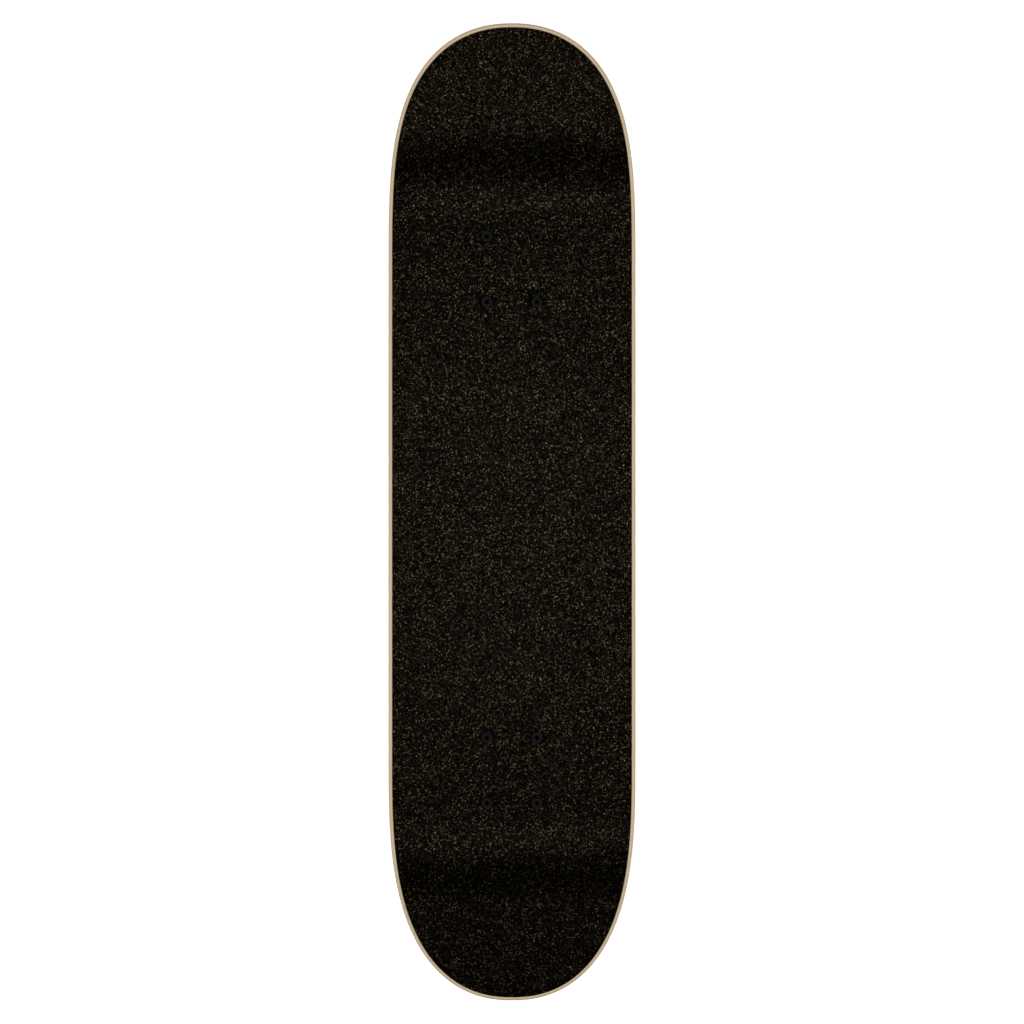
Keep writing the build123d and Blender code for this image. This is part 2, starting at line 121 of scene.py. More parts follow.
# %% Softboxes
def softbox(name, place, width, length, power):
    """A rectangular light that faces the middle of the board, its length lying across it."""
    lamp = bpy.data.lights.new(name, "AREA")
    lamp.shape, lamp.size, lamp.size_y, lamp.energy = "RECTANGLE", width, length, power
    box = bpy.data.objects.new(name, lamp)
    bpy.context.scene.collection.objects.link(box)
    box.location = place
    box.rotation_euler = (0, np.arctan2(place[0], place[2]), 0)
    box.visible_camera = False


softbox("overhead_softbox", (0.0, 0, 3.0), 0.55, 6.5, 54)
softbox("tail_softbox", (-2.25, 0, 2.8), 0.9, 5.0, 58)
softbox("nose_softbox", (2.45, 0, 2.8), 0.9, 5.0, 46)

sky = bpy.data.worlds.new("studio")
sky.use_nodes = True
sky.node_tree.nodes["Background"].inputs["Color"].default_value = linear("FFFFFF")
sky.node_tree.nodes["Background"].inputs["Strength"].default_value = 0.12
bpy.context.scene.world = sky

# %% The floor
floor_mesh = bpy.data.meshes.new("floor")
FLOOR_HALF = 20.0
floor_corners = [(x * FLOOR_HALF, y * FLOOR_HALF, 0) for x, y in ((-1, -1), (1, -1), (1, 1), (-1, 1))]
floor_mesh.from_pydata(floor_corners, [], [(0, 1, 2, 3)])
floor = bpy.data.objects.new("floor", floor_mesh)
bpy.context.scene.collection.objects.link(floor)

paper = bpy.data.materials.new("white_backdrop_paper")
paper.use_nodes = True
paper_inputs = paper.node_tree.nodes["Principled BSDF"].inputs
paper_inputs["Base Color"].default_value = linear("F4F4F4")
paper_inputs["Roughness"].default_value = 0.9
paper_inputs["Emission Color"].default_value = linear("FFFFFF")
paper_inputs["Emission Strength"].default_value = 0.45
floor_mesh.materials.append(paper)

# %% [markdown]
# The blank
# ---------
# A deck starts as a flat stack of veneers. After pressing, its outline is cut with a template and its edge is
# rounded with a router. A grid could be trimmed to the outline, but it would leave ragged cells at the edge.
# So the mesh is laid out like the board itself: stations walk round the outline, rows cross from rail to rail
# between them, and loops follow the edge down and round. The blank is flat here. Its height says how far a
# point lies over or under the top face.

# %% The outline
LENGTH, WIDTH, THICKNESS = 800.0 * MM, 203.2 * MM, 11.0 * MM
# Each end's outline narrows from its taper on, rounder or fuller by two powers. Its bend comes with it: the
# corner where the level and the ramp would meet, the bend's radius and the ramp's angle.
NOSE = {"taper": 200.0 * MM, "along": 3.4, "across": 2.19}
NOSE.update(bend_at=281.0 * MM, radius=220.0 * MM, angle=radians(21.0))
TAIL = {"taper": 205.0 * MM, "along": 2.96, "across": 2.24}
TAIL.update(bend_at=289.0 * MM, radius=200.0 * MM, angle=radians(20.0))


def end_outline(end, turn):
    """Points of one end's rounded outline and their outward directions; turn goes from the rail to the tip."""
    reach, half = LENGTH / 2 - end["taper"], WIDTH / 2
    along, across = end["along"], end["across"]
    u, v = np.sin(turn) ** (2 / along), np.cos(turn) ** (2 / across)
    outward = np.stack([along / reach * u ** (along - 1), across / half * v ** (across - 1)], 1)
    outward /= np.linalg.norm(outward, axis=1)[:, None]
    return np.stack([end["taper"] + reach * u, half * v], 1), outward


def left_outline(spacing):
    """The outline's left half from the tail's tip to the nose's, in even steps, with outward directions."""
    places, outwards = [], []
    fine = np.linspace(0, pi / 2, 4001)
    for end in (TAIL, NOSE):
        points, _ = end_outline(end, fine)
        walked = np.concatenate([[0], np.cumsum(np.linalg.norm(np.diff(points, axis=0), axis=1))])
        steps = int(round(walked[-1] / spacing))
        points, outward = end_outline(end, np.interp(np.linspace(0, walked[-1], steps + 1), walked, fine))
        points[-1, 1] = 0.0  # the tip lies on the middle line and faces straight out
        outward[-1] = (1.0, 0.0)
        places.append(points)
        outwards.append(outward)
    rail_steps = int(round((NOSE["taper"] + TAIL["taper"]) / spacing))
    rail_x = np.linspace(-TAIL["taper"], NOSE["taper"], rail_steps + 1)[1:-1]
    rail = np.stack([rail_x, np.full(len(rail_x), WIDTH / 2)], 1)
    flip = np.array([-1.0, 1.0])
    place = np.concatenate([places[0][::-1] * flip, rail, places[1]])
    outward = np.concatenate([outwards[0][::-1] * flip, np.tile([0.0, 1.0], (len(rail), 1)), outwards[1]])
    return place, outward


STATION_STEP = 4.0 * MM
stations, directions = left_outline(STATION_STEP)
print(len(stations), "stations on each side of the board")


# %% Mesh of a flat blank
def blank_mesh(name, profile, rows_across):
    """A flat blank. profile lists (inset, height) loops from the top face's border, round the edge, to the
    bottom face's border. Each point keeps its height as 'depth' and how much end grain its edge shows."""
    count = len(stations)
    points, depth, end_grain, faces = [], [], [], []

    def face_rows(inset, height):
        rows = []
        inner = stations - inset * directions
        for i, (x, y) in enumerate(inner):
            at_tip = i in (0, count - 1)
            spread = [0.0] if at_tip else np.linspace(1, -1, rows_across + 1)
            rows.append(list(range(len(points), len(points) + len(spread))))
            for share in spread:
                at_border = at_tip or abs(share) == 1.0
                points.append((x, y * share, height))
                depth.append(height)
                end_grain.append(abs(directions[i][0]) * at_border)
        return rows

    def face_quads(rows, upward):
        for a, b in zip(rows, rows[1:]):
            for j in range(rows_across):
                path = ((a, j), (a, j + 1), (b, j + 1), (b, j))
                corners = list(dict.fromkeys(row[min(k, len(row) - 1)] for row, k in path))
                faces.append(corners[::-1] if upward else corners)

    def edge_quads(upper, lower):
        for k in range(len(upper)):
            following = (k + 1) % len(upper)
            faces.append((upper[k], lower[k], lower[following], upper[following]))

    def border(rows):
        return [row[0] for row in rows] + [row[-1] for row in rows[-2:0:-1]]

    top = face_rows(*profile[0])
    face_quads(top, True)
    loop = border(top)
    both_sides = list(range(count)) + list(range(count - 2, 0, -1))
    for inset, height in profile[1:-1]:
        new = list(range(len(points), len(points) + len(both_sides)))
        for k, i in enumerate(both_sides):
            x, y = stations[i] - inset * directions[i]
            points.append((x, y if k < count else -y, height))
            depth.append(height)
            end_grain.append(abs(directions[i][0]))
        edge_quads(loop, new)
        loop = new
    bottom = face_rows(*profile[-1])
    face_quads(bottom, False)
    edge_quads(loop, border(bottom))
    mesh = bpy.data.meshes.new(name)
    mesh.from_pydata(points, [], [face[::-1] for face in faces])  # turned over, so that they face outwards
    for title, values in (("depth", depth), ("end_grain", end_grain)):
        mesh.attributes.new(title, "FLOAT", "POINT").data.foreach_set("value", np.array(values, np.float32))
    return mesh


def rounded_edge(inset, top, bottom, top_round, bottom_round, wall_steps):
    """The loops of an edge with rounded corners, as (inset, height)."""
    turns = np.linspace(0, pi / 2, 7)
    upper = [(inset + top_round * (1 - sin(t)), top - top_round * (1 - cos(t))) for t in turns]
    wall = [(inset, h) for h in np.linspace(top - top_round, bottom + bottom_round, wall_steps + 1)[1:-1]]
    lower = [(inset + bottom_round * (1 - sin(t)), bottom + bottom_round * (1 - cos(t))) for t in turns[::-1]]
    return upper + wall + lower


def new_object(name, mesh):
    """Puts a mesh into the scene under a name."""
    made = bpy.data.objects.new(name, mesh)
    bpy.context.scene.collection.objects.link(made)
    return made


ROWS_ACROSS = 34
DECK_ROUND = 2.5 * MM
GRIP_INSET, GRIP_TOP, GRIP_UNDER = 3.05 * MM, 0.9 * MM, 0.02 * MM
GRIP_TOP_ROUND, GRIP_UNDER_ROUND = 0.35 * MM, 0.05 * MM
deck_edge = rounded_edge(0, 0, -THICKNESS, DECK_ROUND, DECK_ROUND, wall_steps=6)
grip_edge = rounded_edge(GRIP_INSET, GRIP_TOP, GRIP_UNDER, GRIP_TOP_ROUND, GRIP_UNDER_ROUND, wall_steps=2)
deck = new_object("maple_deck", blank_mesh("maple_deck", deck_edge, ROWS_ACROSS))
grip = new_object("grip_sheet", blank_mesh("grip_sheet", grip_edge, ROWS_ACROSS))
print("the deck's blank has", len(deck.data.vertices), "points, the grip sheet's", len(grip.data.vertices))

# %% [markdown]
# The press
# ---------
# Seven glued veneers go into a press between two curved moulds. They come out with a level strip down the
# middle, rails that curve up beside it, and both ends bent up. A lattice or a curve modifier could bend the
# blank, but neither gives exact radii. Geometry Nodes can: the mould's height is a formula of where a point
# lies, so a short list of sums does the pressing, and the same press shapes the grip sheet too.

# %% A node tree that presses a flat blank
SUMS_ACROSS = [
    ("aside", "ABSOLUTE", "across", None),
    ("past level", "SUBTRACT", "aside", "Level Half Width"),
    ("up the rail", "MAXIMUM", "past level", 0.0),
    ("rail squared", "POWER", "up the rail", 2.0),
    ("rail radius", "SUBTRACT", "Concave Radius", "height"),
    ("radius squared", "POWER", "rail radius", 2.0),
    ("left over", "SUBTRACT", "radius squared", "rail squared"),
    ("below centre", "SQRT", "left over", None),
    ("rise", "SUBTRACT", "Concave Radius", "below centre"),
]
SUMS_END = [
    ("tangent", "TANGENT", "END Angle", None),
    ("sine", "SINE", "END Angle", None),
    ("outward", "MULTIPLY", "along", "SIGN"),
    ("run", "SUBTRACT", "outward", "END Bend Start"),
    ("past start", "MAXIMUM", "run", 0.0),
    ("mould radius", "SUBTRACT", "END Bend Radius", "rise"),
    ("bend reach", "MULTIPLY", "mould radius", "sine"),
    ("in bend", "MINIMUM", "past start", "bend reach"),
    ("bend squared", "POWER", "in bend", 2.0),
    ("mould squared", "POWER", "mould radius", 2.0),
    ("bend left", "SUBTRACT", "mould squared", "bend squared"),
    ("bend height", "SQRT", "bend left", None),
    ("lift", "SUBTRACT", "END Bend Radius", "bend height"),
    ("past bend", "SUBTRACT", "past start", "in bend"),
    ("ramp", "MULTIPLY", "past bend", "tangent"),
    ("END height", "ADD", "lift", "ramp"),
]
SUMS_TOTAL = [
    ("both ends", "ADD", "Nose height", "Tail height"),
    ("over top", "SUBTRACT", "both ends", "rise"),
    ("pressed", "ADD", "over top", "Top Height"),
]


def new_tree(name, inputs):
    """An empty geometry tree with named inputs, each a (name, socket type, default)."""
    tree = bpy.data.node_groups.new(name, "GeometryNodeTree")
    tree.interface.new_socket("Geometry", in_out="INPUT", socket_type="NodeSocketGeometry")
    tree.interface.new_socket("Geometry", in_out="OUTPUT", socket_type="NodeSocketGeometry")
    for title, kind, default in inputs:
        socket = tree.interface.new_socket(title, in_out="INPUT", socket_type=kind)
        if default is not None:
            socket.default_value = default
    return tree


def finish_tree(tree, given, geometry):
    """Ends a tree: makes its copies real, gives them the finish and hands them on."""
    real = add(tree, "GeometryNodeRealizeInstances", None, {"Geometry": geometry}).outputs[0]
    dressed = {"Geometry": real, "Material": given.outputs["Finish"]}
    finished = add(tree, "GeometryNodeSetMaterial", None, dressed).outputs[0]
    add(tree, "NodeGroupOutput", None, {"Geometry": finished})


def do_sums(tree, signals, sums, end="", sign=0.0):
    """Adds one maths node for each sum and remembers its result under the sum's name. In the names, END stands
    for the end that is being bent, and SIGN is 1 at the nose and -1 at the tail."""
    for name, operation, *feeds in sums:
        inputs = {}
        for slot, feed in enumerate(feeds):
            if isinstance(feed, str):
                feed = sign if feed == "SIGN" else signals[feed.replace("END", end)]
            if feed is not None:
                inputs[slot] = feed
        title = name.replace("END", end)
        made = add(tree, "ShaderNodeMath", {"operation": operation, "label": title}, inputs)
        signals[title] = made.outputs[0]


FINISH = ("Finish", "NodeSocketMaterial", None)
PRESS = {"Level Half Width": 31.0 * MM, "Concave Radius": 238.0 * MM, "Top Height": DECK_TOP}
for title, end in (("Nose", NOSE), ("Tail", TAIL)):
    PRESS[title + " Bend Start"] = end["bend_at"] - end["radius"] * tan(end["angle"] / 2)
    PRESS[title + " Bend Radius"] = end["radius"]
    PRESS[title + " Angle"] = end["angle"]
press = new_tree("deck_press", [(title, "NodeSocketFloat", size) for title, size in PRESS.items()] + [FINISH])
given = add(press, "NodeGroupInput")
apart = add(press, "ShaderNodeSeparateXYZ", None, {0: add(press, "GeometryNodeInputPosition").outputs[0]})
signals = {title: given.outputs[title] for title in PRESS}
signals.update(along=apart.outputs["X"], across=apart.outputs["Y"], height=apart.outputs["Z"])
do_sums(press, signals, SUMS_ACROSS)
do_sums(press, signals, SUMS_END, "Nose", 1.0)
do_sums(press, signals, SUMS_END, "Tail", -1.0)
do_sums(press, signals, SUMS_TOTAL)
pressed_at = {"X": signals["along"], "Y": signals["across"], "Z": signals["pressed"]}
place = add(press, "ShaderNodeCombineXYZ", None, pressed_at).outputs[0]
moved = add(press, "GeometryNodeSetPosition", None, {"Geometry": given.outputs["Geometry"], "Position": place})
finish_tree(press, given, moved.outputs[0])
print("the press has", len(press.nodes), "nodes")


# %% Running a tree on a piece
def run_tree(piece, tree, values):
    """Runs a geometry tree on a piece with named values and keeps the result as its plain mesh."""
    modifier = piece.modifiers.new(tree.name, "NODES")
    modifier.node_group = tree
    for item in tree.interface.items_tree:
        if item.in_out == "INPUT" and item.name in values:
            modifier[item.identifier] = values[item.name]
    graph = bpy.context.evaluated_depsgraph_get()
    worked = piece.evaluated_get(graph)
    made = bpy.data.meshes.new_from_object(worked, preserve_all_data_layers=True, depsgraph=graph)
    piece.modifiers.clear()
    piece.data = made
    made.name = piece.name
    if None in list(made.materials):  # the slot of a mesh that came without a finish
        made.materials.clear()
        made.materials.append(values["Finish"])
    made.shade_smooth()


# %% [markdown]
# Drilling
# --------
# Eight holes go through the deck for the truck bolts. All trucks use one hole pattern, so the drill is a node
# tree as well: two small grids give the eight places, each gets a cutter, and a boolean takes them all out.
# The cutter is as wide as a bolt's head where it is countersunk, because the head is pulled down flush.

# %% A node tree that drills the bolt holes
BOLTS_ALONG, BOLTS_ACROSS = 53.98 * MM, 41.28 * MM
NOSE_PAST_BOLTS, BETWEEN_INNER_BOLTS = 173.2 * MM, 358.8 * MM
front_x = LENGTH / 2 - NOSE_PAST_BOLTS - BOLTS_ALONG / 2
TRUCK_X = {"front": front_x, "rear": front_x - BOLTS_ALONG - BETWEEN_INNER_BOLTS}
DECK_HOLE, GRIP_HOLE = 4.62 * MM, 4.65 * MM  # radii; the grip sheet's hole is a little wider
CUTTER_HEIGHT = 0.4  # half of it stands above the floor, well past the deck

drill_sizes = {"Hole Radius": DECK_HOLE, "Cutter Height": CUTTER_HEIGHT}
drill = new_tree("drill", [(title, "NodeSocketFloat", size) for title, size in drill_sizes.items()] + [FINISH])
given = add(drill, "NodeGroupInput")
pattern = {"Size X": BOLTS_ALONG, "Size Y": BOLTS_ACROSS, "Vertices X": 2, "Vertices Y": 2}
grids = []
for truck_x in TRUCK_X.values():
    four = add(drill, "GeometryNodeMeshGrid", None, pattern).outputs[0]
    grids.append(add(drill, "GeometryNodeTransform", None, {"Geometry": four, "Translation": (truck_x, 0, 0)}))
eight = add(drill, "GeometryNodeJoinGeometry", None, {"Geometry": grids[0].outputs[0]})
drill.links.new(grids[1].outputs[0], eight.inputs[0])
cutter_size = {"Vertices": 32, "Radius": given.outputs["Hole Radius"], "Depth": given.outputs["Cutter Height"]}
cutter = add(drill, "GeometryNodeMeshCylinder", None, cutter_size)
on_bolts = {"Points": eight.outputs[0], "Instance": cutter.outputs[0]}
cutters = add(drill, "GeometryNodeInstanceOnPoints", None, on_bolts)
solid = add(drill, "GeometryNodeRealizeInstances", None, {"Geometry": cutters.outputs[0]})
taken_out = {"operation": "DIFFERENCE", "solver": "EXACT"}
cut = add(drill, "GeometryNodeMeshBoolean", taken_out, {"Mesh 1": given.outputs["Geometry"]})
drill.links.new(solid.outputs[0], cut.inputs["Mesh 2"])
finish_tree(drill, given, cut.outputs["Mesh"])

# %% [markdown]
# Hard rock maple
# ---------------
# Skateboard decks are sugar maple: pale, dense, with fine straight pores and little figure. Five veneers run
# lengthwise and two, the third and the fifth, run across, so the edge shows stripes with thin glue lines
# between them. A wood pattern wrapped round the board could not show that. Each point of the blank kept its
# depth, so the material can count the veneers from it, and end grain, which drinks more lacquer, goes darker.

# %% Maple
VENEER = THICKNESS / 7


def new_material(name):
    """A named material with its tree and its Principled shader."""
    made = bpy.data.materials.new(name)
    made.use_nodes = True
    return made, made.node_tree, made.node_tree.nodes["Principled BSDF"]


def add_relief(tree, shader, height, distance, strength):
    """Makes a finish look raised by distance where height is 1."""
    relief = add(tree, "ShaderNodeBump", None, {"Strength": strength, "Distance": distance, "Height": height})
    tree.links.new(relief.outputs[0], shader.inputs["Normal"])


maple, tree, shader = new_material("lacquered_sugar_maple")
place = add(tree, "ShaderNodeTexCoord").outputs["Object"]
# The long fibres are about 5 mm wide clouds and 0.7 mm wide pores, both drawn out along the board.
clouds_at = add(tree, "ShaderNodeMapping", None, {"Vector": place, "Scale": (5.0, 190.0, 60.0)})
pores_at = add(tree, "ShaderNodeMapping", None, {"Vector": place, "Scale": (45.0, 1400.0, 500.0)})
clouds = add(tree, "ShaderNodeTexNoise", None, {"Vector": clouds_at.outputs[0], "Scale": 1.0, "Detail": 3.0})
pores = add(tree, "ShaderNodeTexNoise", None, {"Vector": pores_at.outputs[0], "Scale": 1.0, "Detail": 2.0})
figure = mix_colours(tree, clouds.outputs["Fac"], linear("C9B797"), linear("B79F7A"))
fleck_range = {"Value": pores.outputs["Fac"], "From Min": 0.62, "From Max": 0.75, "To Max": 0.45}
flecks = add(tree, "ShaderNodeMapRange", None, fleck_range).outputs[0]
face = mix_colours(tree, flecks, figure, linear("957853"))
depth = add(tree, "ShaderNodeAttribute", {"attribute_name": "depth"}).outputs["Fac"]
end_grain = add(tree, "ShaderNodeAttribute", {"attribute_name": "end_grain"}).outputs["Fac"]
layer = maths(tree, "DIVIDE", depth, -VENEER)
number = maths(tree, "FLOOR", layer)
from_middle = maths(tree, "SUBTRACT", number, 3.0)
off_middle = maths(tree, "ABSOLUTE", from_middle)
crosswise = maths(tree, "COMPARE", off_middle, 1.0, 0.1)
turned_grain = maths(tree, "SUBTRACT", crosswise, end_grain)
shows_ends = maths(tree, "ABSOLUTE", turned_grain)
inside = maths(tree, "GREATER_THAN", layer, 0.3)
drinks = maths(tree, "MULTIPLY", shows_ends, inside)
soak = maths(tree, "MULTIPLY", drinks, 0.62)
edge = mix_colours(tree, soak, face, linear("8A6840"))
nearest = maths(tree, "PINGPONG", layer, 0.5)
on_line = maths(tree, "LESS_THAN", nearest, 0.055)
above_last = maths(tree, "LESS_THAN", layer, 6.7)
between = maths(tree, "MULTIPLY", inside, above_last)
glue = maths(tree, "MULTIPLY", on_line, between)
glued = mix_colours(tree, glue, edge, linear("6B4C2C"))
tree.links.new(glued, shader.inputs["Base Color"])
add_relief(tree, shader, pores.outputs["Fac"], 0.05 * MM, 0.25)
dull = add(tree, "ShaderNodeMapRange", None, {"Value": clouds.outputs["Fac"], "To Min": 0.34, "To Max": 0.5})
tree.links.new(dull.outputs[0], shader.inputs["Roughness"])
shader.inputs["IOR"].default_value = 1.5
shader.inputs["Coat Weight"].default_value = 0.25
shader.inputs["Coat Roughness"].default_value = 0.3

run_tree(deck, press, {"Finish": maple})
run_tree(deck, drill, {"Finish": maple, "Hole Radius": DECK_HOLE, "Cutter Height": CUTTER_HEIGHT})
print("the pressed deck has", len(deck.data.polygons), "faces")
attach(deck, "board")
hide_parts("deck")

# %% [markdown]
# Grip tape
# ---------
# Grip tape is silicon carbide grit set in black resin on a thin sheet. It is black with a grey glitter, because
# a grain whose facet happens to face a lamp flashes. Real grains are 0.2 mm and would vanish in a view of
# the whole board, so they are drawn 0.65 mm wide. Each cell of a Voronoi pattern is one grain, with a shade of
# its own and a slope of its own.

# %% Grip tape's grit
grit, tree, shader = new_material("silicon_carbide_grip_tape")
place = add(tree, "ShaderNodeTexCoord").outputs["Object"]
GRAIN_WIDTH_MM = 0.65
GRAINS_PER_METRE = 1000 / GRAIN_WIDTH_MM
grains = add(tree, "ShaderNodeTexVoronoi", {"feature": "F1"}, {"Vector": place, "Scale": GRAINS_PER_METRE})
luck = add(tree, "ShaderNodeSeparateColor", None, {0: grains.outputs["Color"]})
turn = add(tree, "ShaderNodeTexWhiteNoise", {"noise_dimensions": "3D"}, {"Vector": grains.outputs["Color"]})
shade = add(tree, "ShaderNodeValToRGB", None, {0: luck.outputs["Red"]})
ramp = shade.color_ramp
ramp.elements[0].position, ramp.elements[0].color = 0.0, linear("010101")
ramp.elements[1].position, ramp.elements[1].color = 1.0, linear("524732")
for position, colour in ((0.45, "020202"), (0.75, "080705"), (0.93, "1B170F")):
    ramp.elements.new(position).color = linear(colour)
tree.links.new(shade.outputs[0], shader.inputs["Base Color"])
halves = (0.5, 0.5, 0.5)
centred = add(tree, "ShaderNodeVectorMath", {"operation": "SUBTRACT"}, {0: turn.outputs["Color"], 1: halves})
tilt = add(tree, "ShaderNodeVectorMath", {"operation": "SCALE"}, {0: centred.outputs[0], "Scale": 0.10})
upright = add(tree, "ShaderNodeNewGeometry").outputs["Normal"]
leaning = add(tree, "ShaderNodeVectorMath", {"operation": "ADD"}, {0: upright, 1: tilt.outputs[0]})
facet = add(tree, "ShaderNodeVectorMath", {"operation": "NORMALIZE"}, {0: leaning.outputs[0]})
tree.links.new(facet.outputs[0], shader.inputs["Normal"])
spread = add(tree, "ShaderNodeMapRange", None, {"Value": luck.outputs["Blue"], "To Min": 0.2, "To Max": 0.34})
tree.links.new(spread.outputs[0], shader.inputs["Roughness"])
shader.inputs["Metallic"].default_value = 1.0

GRIP_SHIFT = -0.4 * MM  # the sheet lies a little towards the tail
grip.data.transform(Matrix.Translation((GRIP_SHIFT, 0, 0)))
run_tree(grip, press, {"Finish": grit})
run_tree(grip, drill, {"Finish": grit, "Hole Radius": GRIP_HOLE, "Cutter Height": CUTTER_HEIGHT})
print("the grip sheet has", len(grip.data.polygons), "faces")
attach(grip, "board")
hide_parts("grip_tape")

# %% [markdown]
# Metals
# ------
# Trucks are aluminium castings, tumbled with stones until they shine dully, with a faint orange-peel skin left
# by the mould. Rods, nuts and washers are zinc-plated steel, the truck bolts are black oxide, and bearings are
# hardened and polished. A metal's look is mostly its roughness, so that is what varies from one to the next.

# %% Four metals
METALS = {
    # name: colour, roughness low and high, bump in mm, pattern size in mm, coarse pattern size in mm
    "tumbled_cast_aluminium": ("C9C9C7", 0.30, 0.50, 0.06, 0.9, 14.0),
    "zinc_plated_steel": ("BDBDB8", 0.22, 0.36, 0.008, 0.5, 9.0),
    "black_oxide_steel": ("2A2A2B", 0.34, 0.48, 0.010, 0.4, 6.0),
    "polished_bearing_steel": ("D3D4D6", 0.10, 0.18, 0.003, 0.3, 5.0),
}
metals = {}
for name, (colour, smooth, rough, bump, fine_size, coarse_size) in METALS.items():
    metal, tree, shader = new_material(name)
    place = add(tree, "ShaderNodeTexCoord").outputs["Object"]
    fine = add(tree, "ShaderNodeTexNoise", None, {"Vector": place, "Scale": 1000 / fine_size, "Detail": 3.0})
    coarse = add(tree, "ShaderNodeTexNoise", None, {"Vector": place, "Scale": 1000 / coarse_size, "Detail": 4.0})
    wear = {"Value": coarse.outputs["Fac"], "From Min": 0.3, "From Max": 0.7, "To Min": smooth, "To Max": rough}
    worn = add(tree, "ShaderNodeMapRange", None, wear)
    tree.links.new(worn.outputs[0], shader.inputs["Roughness"])
    dark = [channel * 0.8 for channel in linear(colour)[:3]] + [1.0]
    tone = mix_colours(tree, coarse.outputs["Fac"], linear(colour), dark)
    tree.links.new(tone, shader.inputs["Base Color"])
    add_relief(tree, shader, fine.outputs["Fac"], bump * MM, 0.6)
    shader.inputs["Metallic"].default_value = 1.0
    metals[name] = metal
print(len(metals), "metals")

# %% [markdown]
# Bolt heads
# ----------
# The eight bolts are oxidised black like their nuts. Their heads lie level with the grit, scuffed by shoes. The
# hex sockets are deep, so their shade is painted in: the material is darker and matte just under the heads'
# level.

# %% Black bolts with painted shade in the sockets
bolt_black, tree, shader = new_material("black_oxide_bolt_steel")
place = add(tree, "ShaderNodeTexCoord").outputs["Object"]
level = add(tree, "ShaderNodeSeparateXYZ", None, {0: place}).outputs["Z"]
# Painted shade: a band just under the heads' level, where the deep hex sockets lie, goes near black and matte.
SHADED_SOCKET_MIDDLE, SHADED_SOCKET_HALF = 89.4 * MM, 1.1 * MM
socket = maths(tree, "COMPARE", level, SHADED_SOCKET_MIDDLE, SHADED_SOCKET_HALF)
SCUFF_WIDTH_MM = 0.6
scuffs = add(tree, "ShaderNodeTexNoise", None, {"Vector": place, "Scale": 1000 / SCUFF_WIDTH_MM, "Detail": 3.0})
scuffed = mix_colours(tree, scuffs.outputs["Fac"], linear("060606"), linear("181817"))
# The scuffed black oxide, turned near black in the sockets by painted shade.
oxide_and_painted_socket_shade = mix_colours(tree, socket, scuffed, linear("020202"))
tree.links.new(oxide_and_painted_socket_shade, shader.inputs["Base Color"])
dull = add(tree, "ShaderNodeMapRange", None, {"Value": scuffs.outputs["Fac"], "To Min": 0.3, "To Max": 0.5})
# The sockets are made fully matte as well, so they catch no reflection and stay dark like shade.
matte_in_shaded_sockets = maths(tree, "MAXIMUM", dull.outputs[0], socket)
tree.links.new(matte_in_shaded_sockets, shader.inputs["Roughness"])
add_relief(tree, shader, scuffs.outputs["Fac"], 0.02 * MM, 0.5)
shader.inputs["Metallic"].default_value = 1.0

# %% [markdown]
# Urethane and nylon
# ------------------
# Wheels, bushings and pivot cups are poured polyurethane, each with its own hardness. Light goes a few
# millimetres into the pale ones, which softens their shading, so they get subsurface scattering. The ball
# cages and the rings in the lock nuts are nylon.

# %% Four plastics
PLASTICS = {
    # name: colour, darker tone, roughness low and high, then in mm how far light goes in, bump, pattern size
    "poured_white_urethane": ("EDEAE0", "DEDACD", 0.36, 0.5, 3.0, 0.02, 3.0),
    "cream_bushing_urethane": ("DDD2B4", "CBBE9B", 0.28, 0.4, 2.5, 0.02, 2.0),
    "black_cup_urethane": ("161616", "0E0E0E", 0.4, 0.55, 0.0, 0.02, 1.5),
    "natural_nylon": ("DDD5BC", "C9BF9F", 0.4, 0.55, 1.0, 0.01, 1.0),
}
plastics = {}
for name, (colour, tone, smooth, rough, sinks, bump, size) in PLASTICS.items():
    plastic, tree, shader = new_material(name)
    place = add(tree, "ShaderNodeTexCoord").outputs["Object"]
    mottle = add(tree, "ShaderNodeTexNoise", None, {"Vector": place, "Scale": 1000 / (size * 5), "Detail": 4.0})
    grain = add(tree, "ShaderNodeTexNoise", None, {"Vector": place, "Scale": 1000 / size, "Detail": 2.0})
    mottled = mix_colours(tree, mottle.outputs["Fac"], linear(colour), linear(tone))
    tree.links.new(mottled, shader.inputs["Base Color"])
    wear = {"Value": mottle.outputs["Fac"], "To Min": smooth, "To Max": rough}
    worn = add(tree, "ShaderNodeMapRange", None, wear)
    tree.links.new(worn.outputs[0], shader.inputs["Roughness"])
    add_relief(tree, shader, grain.outputs["Fac"], bump * MM, 0.4)
    shader.inputs["IOR"].default_value = 1.5
    if sinks:
        shader.inputs["Subsurface Weight"].default_value = 0.35
        shader.inputs["Subsurface Radius"].default_value = (1.0, 0.8, 0.6)
        shader.inputs["Subsurface Scale"].default_value = sinks * MM
    plastics[name] = plastic
print(len(plastics), "plastics")

# %% Finishes for the measured pieces
FINISH_OF = {
    "baseplate": metals["tumbled_cast_aluminium"],
    "hanger": metals["tumbled_cast_aluminium"],
    "kingpin": metals["zinc_plated_steel"],
    "kingpin_nut": metals["zinc_plated_steel"],
    "bottom_washer": metals["zinc_plated_steel"],
    "top_washer": metals["zinc_plated_steel"],
    "axle": metals["zinc_plated_steel"],
    "axle_nuts": metals["zinc_plated_steel"],
    "speed_washers": metals["zinc_plated_steel"],
    "spacer": metals["zinc_plated_steel"],
    "shields": metals["zinc_plated_steel"],
    "mounting_bolts": bolt_black,
    "mounting_nuts": metals["black_oxide_steel"],
    "inner_rings": metals["polished_bearing_steel"],
    "outer_rings": metals["polished_bearing_steel"],
    "balls": metals["polished_bearing_steel"],
    "pivot_cup": plastics["black_cup_urethane"],
    "cages": plastics["natural_nylon"],
}
measured = {}
